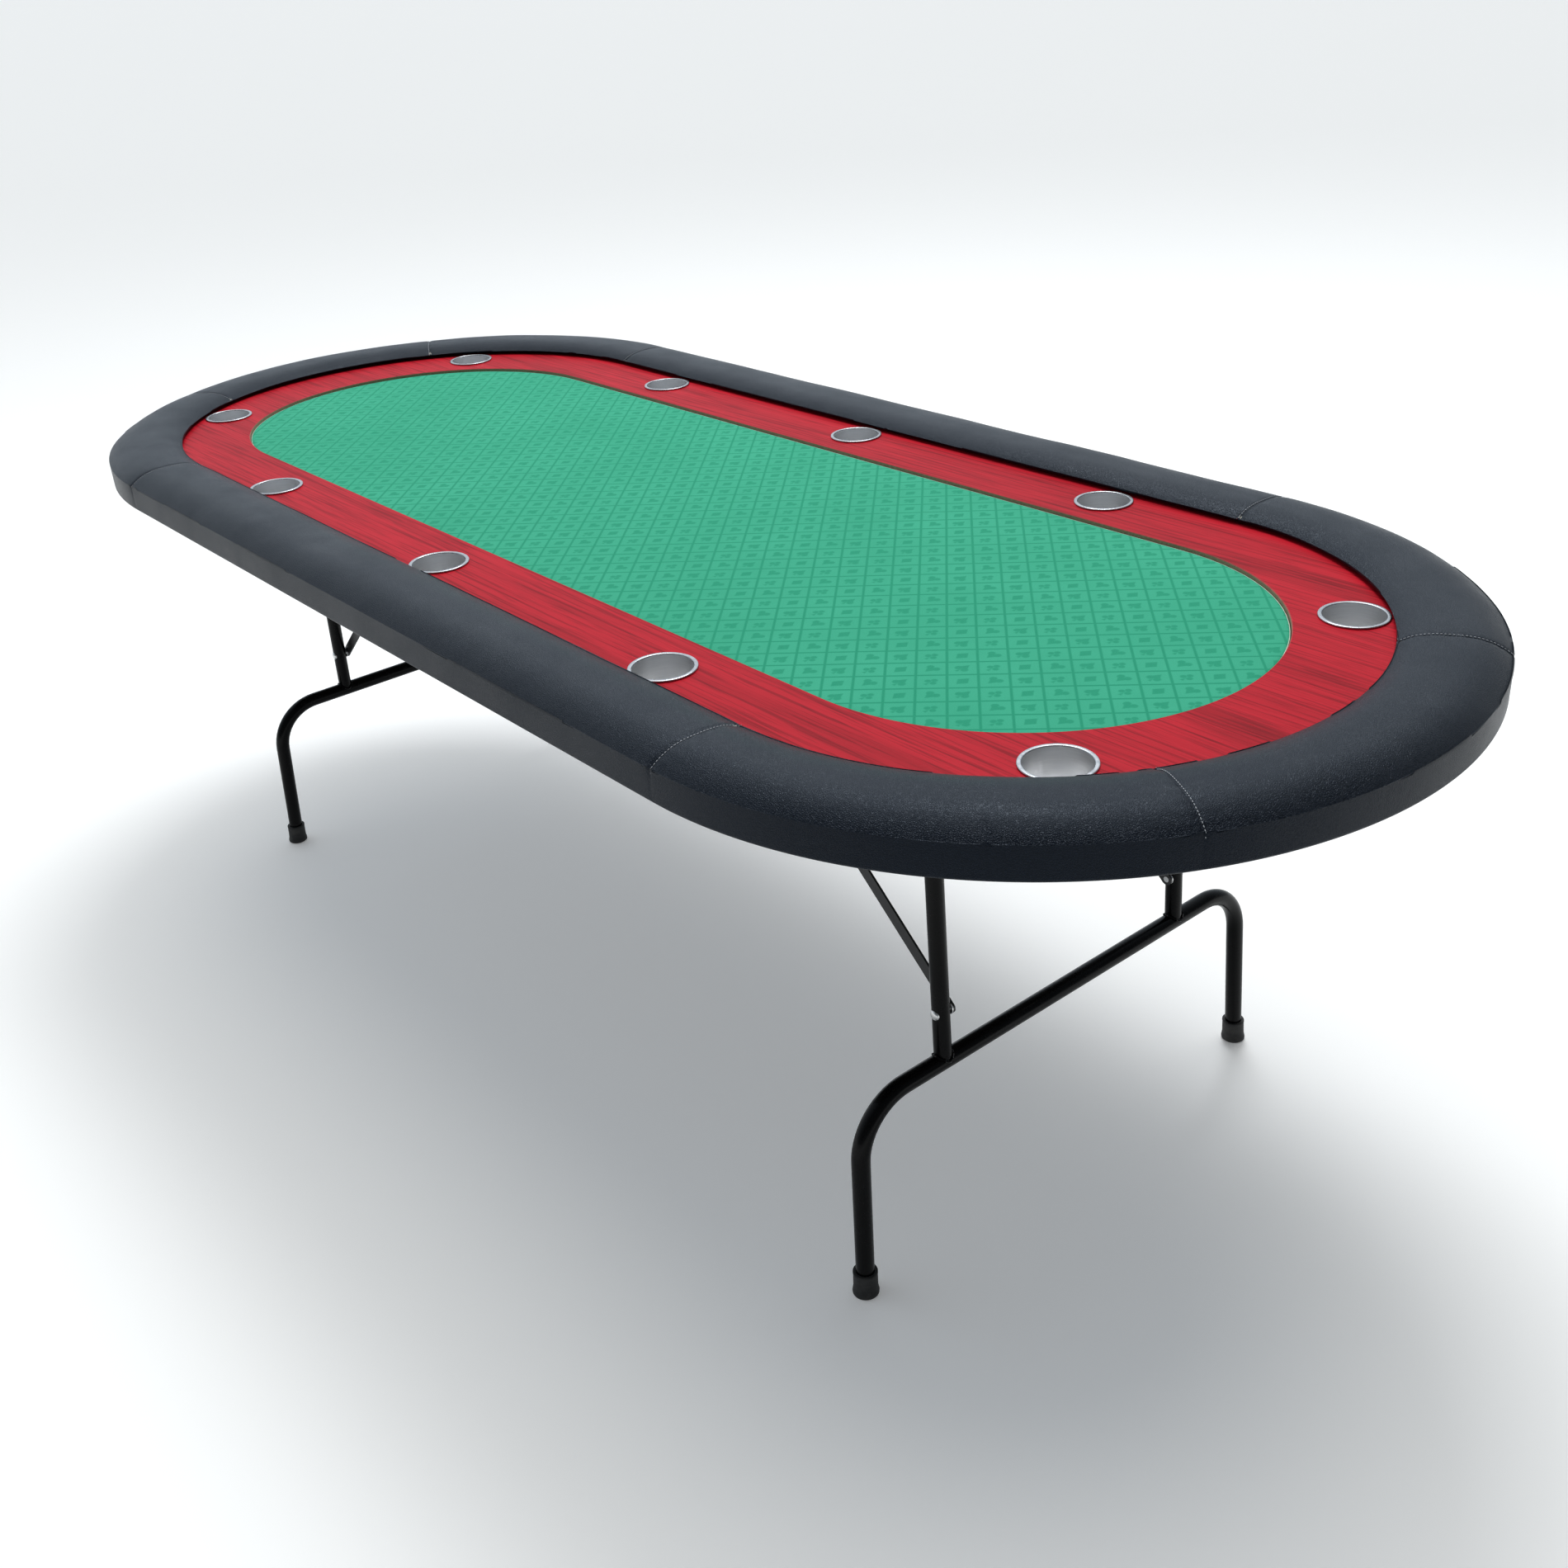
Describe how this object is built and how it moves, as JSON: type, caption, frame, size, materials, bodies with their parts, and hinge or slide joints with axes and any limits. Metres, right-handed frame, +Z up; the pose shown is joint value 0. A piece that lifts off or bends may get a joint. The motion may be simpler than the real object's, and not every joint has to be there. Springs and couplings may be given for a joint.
{
  "type": "poker table",
  "caption": "Oval folding card table with a padded vinyl rail, glossy wood-look racetrack, lift-out steel cup holders, patterned green cloth and fold-flat tube legs.",
  "frame": {"origin": "on the floor, under the middle of the table", "axes": "+X along the table's length, +Y across its width, +Z up"},
  "size_m": [2.438, 1.06, 0.763],
  "materials": {
    "rail_vinyl": "black pebble-grained leatherette, satin",
    "rail_foam": "open-cell upholstery foam",
    "plywood": "raw plywood",
    "deck_board": "dark painted plywood",
    "track_board": "raw medium-density fibreboard",
    "track_laminate": "glossy red-stained straight-grained wood laminate",
    "playfield_foam": "closed-cell sheet foam",
    "speed_cloth": "green woven playing cloth with a printed lattice",
    "cup_steel": "spun stainless steel, polished rolled rim",
    "black_tube": "gloss black powder coat",
    "black_plate": "satin black powder coat",
    "zinc_steel": "zinc-plated steel",
    "foot_rubber": "moulded black rubber"
  },
  "bodies": {
    "table_top": {"deck_board": "deck_board", "racetrack_board": "track_board", "racetrack_laminate": "track_laminate", "playfield_board": "track_board", "playfield_foam": "playfield_foam", "speed_cloth": "speed_cloth", "rail_frame": "plywood", "rail_foam": "rail_foam", "rail_bolts": "zinc_steel", "rail_t_nuts": "zinc_steel", "rail_cover_front": "rail_vinyl", "rail_cover_back": "rail_vinyl", "rail_cover_right_front": "rail_vinyl", "rail_cover_right": "rail_vinyl", "rail_cover_right_back": "rail_vinyl", "rail_cover_left_front": "rail_vinyl", "rail_cover_left": "rail_vinyl", "rail_cover_left_back": "rail_vinyl", "pivot_bracket_right_front": "black_plate", "pivot_bracket_right_back": "black_plate", "pivot_bracket_left_front": "black_plate", "pivot_bracket_left_back": "black_plate", "stay_bracket_right_front": "black_plate", "stay_bracket_right_back": "black_plate", "stay_bracket_left_front": "black_plate", "stay_bracket_left_back": "black_plate", "bracket_screws": "zinc_steel", "stay_pins": "zinc_steel"},
    "cup_holder_1": {"cup_holder_1": "cup_steel"},
    "cup_holder_2": {"cup_holder_2": "cup_steel"},
    "cup_holder_3": {"cup_holder_3": "cup_steel"},
    "cup_holder_4": {"cup_holder_4": "cup_steel"},
    "cup_holder_5": {"cup_holder_5": "cup_steel"},
    "cup_holder_6": {"cup_holder_6": "cup_steel"},
    "cup_holder_7": {"cup_holder_7": "cup_steel"},
    "cup_holder_8": {"cup_holder_8": "cup_steel"},
    "cup_holder_9": {"cup_holder_9": "cup_steel"},
    "cup_holder_10": {"cup_holder_10": "cup_steel"},
    "leg_right": {"leg_bow_right": "black_tube", "hinge_tube_right": "black_tube", "leg_rivets_right": "zinc_steel", "upright_right_front": "black_tube", "upright_right_back": "black_tube", "foot_cap_right_front": "foot_rubber", "foot_cap_right_back": "foot_rubber"},
    "stay_upper_right_front": {"stay_upper_right_front": "black_plate"},
    "stay_lower_right_front": {"stay_lower_right_front": "black_plate"},
    "stay_upper_right_back": {"stay_upper_right_back": "black_plate"},
    "stay_lower_right_back": {"stay_lower_right_back": "black_plate"},
    "leg_left": {"leg_bow_left": "black_tube", "hinge_tube_left": "black_tube", "leg_rivets_left": "zinc_steel", "upright_left_front": "black_tube", "upright_left_back": "black_tube", "foot_cap_left_front": "foot_rubber", "foot_cap_left_back": "foot_rubber"},
    "stay_upper_left_front": {"stay_upper_left_front": "black_plate"},
    "stay_lower_left_front": {"stay_lower_left_front": "black_plate"},
    "stay_upper_left_back": {"stay_upper_left_back": "black_plate"},
    "stay_lower_left_back": {"stay_lower_left_back": "black_plate"}
  },
  "joints": [
    {"name": "cup_holder_1_lift", "type": "slide", "parent": "table_top", "child": "cup_holder_1", "axis": [0, 0, 1], "range_m": [0, 0.09]},
    {"name": "cup_holder_2_lift", "type": "slide", "parent": "table_top", "child": "cup_holder_2", "axis": [0, 0, 1], "range_m": [0, 0.09]},
    {"name": "cup_holder_3_lift", "type": "slide", "parent": "table_top", "child": "cup_holder_3", "axis": [0, 0, 1], "range_m": [0, 0.09]},
    {"name": "cup_holder_4_lift", "type": "slide", "parent": "table_top", "child": "cup_holder_4", "axis": [0, 0, 1], "range_m": [0, 0.09]},
    {"name": "cup_holder_5_lift", "type": "slide", "parent": "table_top", "child": "cup_holder_5", "axis": [0, 0, 1], "range_m": [0, 0.09]},
    {"name": "cup_holder_6_lift", "type": "slide", "parent": "table_top", "child": "cup_holder_6", "axis": [0, 0, 1], "range_m": [0, 0.09]},
    {"name": "cup_holder_7_lift", "type": "slide", "parent": "table_top", "child": "cup_holder_7", "axis": [0, 0, 1], "range_m": [0, 0.09]},
    {"name": "cup_holder_8_lift", "type": "slide", "parent": "table_top", "child": "cup_holder_8", "axis": [0, 0, 1], "range_m": [0, 0.09]},
    {"name": "cup_holder_9_lift", "type": "slide", "parent": "table_top", "child": "cup_holder_9", "axis": [0, 0, 1], "range_m": [0, 0.09]},
    {"name": "cup_holder_10_lift", "type": "slide", "parent": "table_top", "child": "cup_holder_10", "axis": [0, 0, 1], "range_m": [0, 0.09]},
    {"name": "leg_right_fold", "type": "hinge", "parent": "table_top", "child": "leg_right", "pos_m": [0.75629, 0, 0.688], "axis": [0, 1, 0], "range_deg": [0, 91.5]},
    {"name": "stay_upper_right_front_turn", "type": "hinge", "parent": "table_top", "child": "stay_upper_right_front", "pos_m": [0.38, -0.195, 0.68403], "axis": [0, 1, 0], "range_deg": [-42.03, 0]},
    {"name": "stay_lower_right_front_turn", "type": "hinge", "parent": "leg_right", "child": "stay_lower_right_front", "pos_m": [0.76956, -0.2, 0.333], "axis": [0, 1, 0], "range_deg": [0, 46.49]},
    {"name": "stay_upper_right_back_turn", "type": "hinge", "parent": "table_top", "child": "stay_upper_right_back", "pos_m": [0.38, 0.195, 0.68403], "axis": [0, 1, 0], "range_deg": [-42.03, 0]},
    {"name": "stay_lower_right_back_turn", "type": "hinge", "parent": "leg_right", "child": "stay_lower_right_back", "pos_m": [0.76956, 0.2, 0.333], "axis": [0, 1, 0], "range_deg": [0, 46.49]},
    {"name": "leg_left_fold", "type": "hinge", "parent": "table_top", "child": "leg_left", "pos_m": [-0.75629, 0, 0.688], "axis": [0, -1, 0], "range_deg": [0, 91.5]},
    {"name": "stay_upper_left_front_turn", "type": "hinge", "parent": "table_top", "child": "stay_upper_left_front", "pos_m": [-0.38, -0.195, 0.68403], "axis": [0, -1, 0], "range_deg": [-42.03, 0]},
    {"name": "stay_lower_left_front_turn", "type": "hinge", "parent": "leg_left", "child": "stay_lower_left_front", "pos_m": [-0.76956, -0.2, 0.333], "axis": [0, -1, 0], "range_deg": [0, 46.49]},
    {"name": "stay_upper_left_back_turn", "type": "hinge", "parent": "table_top", "child": "stay_upper_left_back", "pos_m": [-0.38, 0.195, 0.68403], "axis": [0, -1, 0], "range_deg": [-42.03, 0]},
    {"name": "stay_lower_left_back_turn", "type": "hinge", "parent": "leg_left", "child": "stay_lower_left_back", "pos_m": [-0.76956, 0.2, 0.333], "axis": [0, -1, 0], "range_deg": [0, 46.49]}
  ],
  "couplings": [
    {"joint": "stay_upper_right_front_turn", "follows": "leg_right_fold", "ratio": -0.45926},
    {"joint": "stay_lower_right_front_turn", "follows": "leg_right_fold", "ratio": 0.50795},
    {"joint": "stay_upper_right_back_turn", "follows": "leg_right_fold", "ratio": -0.45926},
    {"joint": "stay_lower_right_back_turn", "follows": "leg_right_fold", "ratio": 0.50795},
    {"joint": "stay_upper_left_front_turn", "follows": "leg_left_fold", "ratio": -0.45926},
    {"joint": "stay_lower_left_front_turn", "follows": "leg_left_fold", "ratio": 0.50795},
    {"joint": "stay_upper_left_back_turn", "follows": "leg_left_fold", "ratio": -0.45926},
    {"joint": "stay_lower_left_back_turn", "follows": "leg_left_fold", "ratio": 0.50795}
  ]
}
